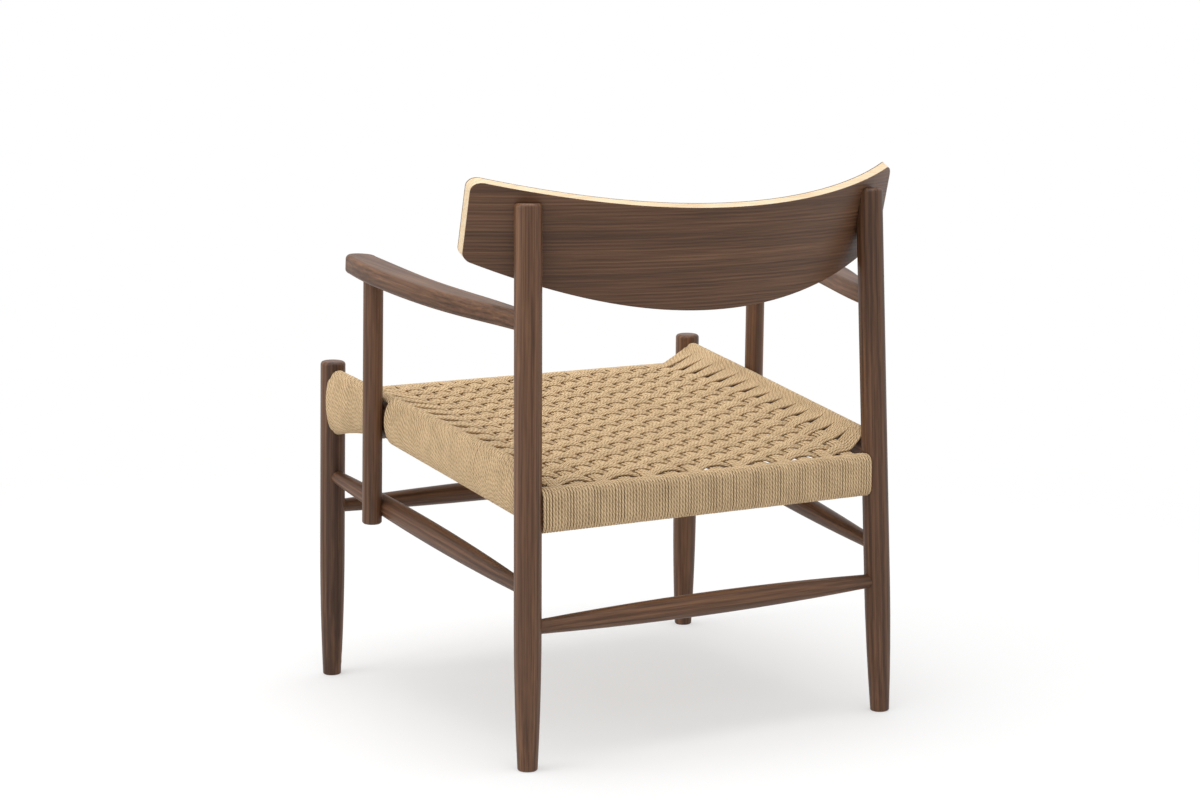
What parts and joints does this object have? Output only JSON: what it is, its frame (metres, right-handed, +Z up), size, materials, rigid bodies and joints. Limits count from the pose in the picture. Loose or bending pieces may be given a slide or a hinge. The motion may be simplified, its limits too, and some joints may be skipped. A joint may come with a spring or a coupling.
{
  "type": "armchair",
  "caption": "Low wooden armchair with turned legs, curved moulded back panel, paddle arms on round supports, and a woven paper-cord seat.",
  "frame": {"origin": "centre of the whole chair's bounding box on the floor", "axes": "+Z up, the chair faces -Y, +X is the sitter's left"},
  "size_m": [0.692, 0.6179, 0.7619],
  "materials": {
    "walnut": "oiled satin",
    "walnut_veneer": "oiled satin",
    "plywood_core": "sanded edge",
    "paper_cord": "matt twisted paper",
    "steel": "bright drawn wire"
  },
  "bodies": {
    "root": {"front_leg_left": "walnut", "front_leg_right": "walnut", "rear_post_left": "walnut", "rear_post_right": "walnut", "front_rail": "walnut", "rear_rail": "walnut", "side_rail_left": "walnut", "side_rail_right": "walnut", "front_stretcher": "walnut", "rear_stretcher": "walnut", "side_stretcher_left": "walnut", "side_stretcher_right": "walnut", "arm_left": "walnut", "arm_right": "walnut", "arm_support_left": "walnut", "arm_support_right": "walnut", "back_screw_plugs": "walnut", "back_veneer_front": "walnut_veneer", "back_veneer_rear": "walnut_veneer", "back_core": "plywood_core", "front_rail_wrap": "paper_cord", "rear_rail_wrap": "paper_cord", "side_wrap_left_front": "paper_cord", "side_wrap_left_rear": "paper_cord", "side_wrap_right_front": "paper_cord", "side_wrap_right_rear": "paper_cord", "seat_weave": "paper_cord", "front_rail_nails": "steel", "rear_rail_nails": "steel", "side_rail_nails_left": "steel", "side_rail_nails_right": "steel", "back_screws": "steel", "support_screws": "steel"}
  },
  "joints": []
}
